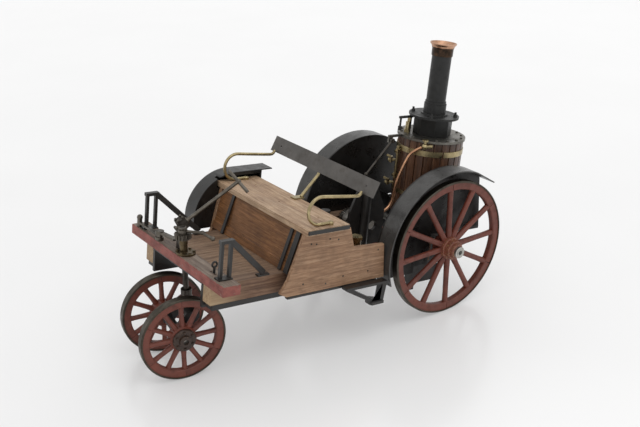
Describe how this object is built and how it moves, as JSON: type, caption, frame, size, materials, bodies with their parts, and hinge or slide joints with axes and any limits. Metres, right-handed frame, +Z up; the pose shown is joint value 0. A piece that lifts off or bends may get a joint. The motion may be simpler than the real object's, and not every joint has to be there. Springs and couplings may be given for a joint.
{
  "type": "model steam engine",
  "caption": "Model steam road carriage with a lagged vertical boiler and chimney, bench seat, steered front bogie and geared rear wheels.",
  "frame": {"origin": "middle of the bounding box's underside, on the ground that the wheels stand on", "axes": "+X forward, +Y to the vehicle's left, +Z up; the body is pitched nose up by 6.8 degrees"},
  "size_m": [0.3944, 0.187, 0.2566],
  "materials": {
    "rail_wood": "worn bare wood",
    "deck_wood": "weathered wood",
    "seat_wood": "worn pale wood",
    "panel_wood": "dark stained wood",
    "plank_wood": "weathered, edges painted red",
    "wheel_wood": "worn oxide-red paint",
    "lagging_wood": "varnished staves",
    "tyre_iron": "dull",
    "black_iron": "worn black paint",
    "sheet_metal": "satin dark grey",
    "boiler_iron": "dull charcoal",
    "steel": "worn",
    "brass": "tarnished",
    "copper": "dull copper"
  },
  "bodies": {
    "chassis": {"frame_rails": "rail_wood", "cross_members": "rail_wood", "frame_irons": "black_iron", "floor_boards": "deck_wood", "front_plank": "plank_wood", "seat_front_panel": "panel_wood", "side_panel_left": "deck_wood", "side_panel_right": "deck_wood", "bay_bulkhead": "panel_wood", "seat_plank": "seat_wood", "seat_irons": "black_iron", "backrest_plate": "sheet_metal", "backrest_stay": "brass", "armrail_left": "brass", "armrail_right": "brass", "steps": "black_iron", "front_stands": "sheet_metal", "steering_transom": "black_iron", "column_bearing": "boiler_iron", "steering_box": "boiler_iron", "link_bar": "boiler_iron", "engine_block": "black_iron", "axle_bearings": "black_iron", "mudguard_left": "sheet_metal", "mudguard_right": "sheet_metal", "side_casing": "sheet_metal", "boiler_shell": "boiler_iron", "boiler_lagging": "lagging_wood", "boiler_bands": "brass", "boiler_top": "boiler_iron", "smokebox": "boiler_iron", "chimney": "boiler_iron", "chimney_cap": "copper", "ash_pan": "black_iron", "safety_valve": "brass", "water_gauge": "brass", "steam_pipe": "copper", "steam_valve": "brass", "feed_pump": "brass"},
    "bogie": {"kingpin": "boiler_iron", "steering_gear": "boiler_iron", "bogie_frame": "black_iron", "front_axle": "steel"},
    "front_wheel_left_set": {"front_wheel_left": "wheel_wood", "front_tyre_left": "tyre_iron"},
    "front_wheel_right_set": {"front_wheel_right": "wheel_wood", "front_tyre_right": "tyre_iron"},
    "rear_wheel_set": {"rear_axle": "steel", "axle_gear": "boiler_iron", "rear_wheel_left": "wheel_wood", "rear_wheel_right": "wheel_wood", "rear_tyre_left": "tyre_iron", "rear_tyre_right": "tyre_iron"},
    "crank_set": {"crankshaft": "steel"},
    "crosshead_set": {"crosshead": "steel"},
    "connecting_rod_set": {"connecting_rod": "steel"},
    "steering_shaft_set": {"steering_shaft": "boiler_iron"},
    "fire_door_set": {"fire_door": "black_iron"},
    "safety_lever_set": {"safety_lever": "black_iron"},
    "regulator_set": {"regulator_lever": "steel"}
  },
  "joints": [
    {"name": "steering", "type": "hinge", "parent": "chassis", "child": "bogie", "pos_m": [0.13774, 0.003, 0], "axis": [0, 0, 1], "range_deg": [-15, 34]},
    {"name": "front_wheel_left_spin", "type": "hinge", "parent": "bogie", "child": "front_wheel_left_set", "pos_m": [0.1568, 0.02551, 0.04], "axis": [0.1685, 0.9857, 0], "continuous": true},
    {"name": "front_wheel_right_spin", "type": "hinge", "parent": "bogie", "child": "front_wheel_right_set", "pos_m": [0.14824, -0.02456, 0.04], "axis": [0.1685, 0.9857, 0], "continuous": true},
    {"name": "rear_axle_spin", "type": "hinge", "parent": "chassis", "child": "rear_wheel_set", "pos_m": [-0.11976, 0, 0.07], "axis": [0, 1, 0], "continuous": true},
    {"name": "crankshaft_spin", "type": "hinge", "parent": "chassis", "child": "crank_set", "pos_m": [-0.08376, 0, 0.07], "axis": [0, 1, 0], "continuous": true},
    {"name": "crosshead_slide", "type": "slide", "parent": "chassis", "child": "crosshead_set", "axis": [0.993, 0, 0.1184], "range_m": [-0.006, 0.006]},
    {"name": "connecting_rod_swing", "type": "hinge", "parent": "crosshead_set", "child": "connecting_rod_set", "pos_m": [-0.05397, 0, 0.07355], "axis": [0, 1, 0], "range_deg": [-14, 14]},
    {"name": "steering_shaft_turn", "type": "hinge", "parent": "chassis", "child": "steering_shaft_set", "pos_m": [0.13164, -0.008, 0.1322], "axis": [-0.915, 0, 0.4035], "range_deg": [-61, 137]},
    {"name": "fire_door_hinge", "type": "hinge", "parent": "chassis", "child": "fire_door_set", "pos_m": [-0.1884, 0.0124, 0.08397], "axis": [0.1184, 0, -0.993], "range_deg": [0, 100]},
    {"name": "safety_lever_lift", "type": "hinge", "parent": "chassis", "child": "safety_lever_set", "pos_m": [-0.14626, -0.013, 0.17903], "axis": [0, -1, 0], "range_deg": [0, 5]},
    {"name": "regulator_swing", "type": "hinge", "parent": "chassis", "child": "regulator_set", "pos_m": [-0.11255, -0.005, 0.1615], "axis": [0, 1, 0], "range_deg": [-10, 10]}
  ],
  "couplings": [
    {"joint": "crankshaft_spin", "follows": "rear_axle_spin", "ratio": -2},
    {"joint": "steering_shaft_turn", "follows": "steering", "ratio": 4}
  ]
}
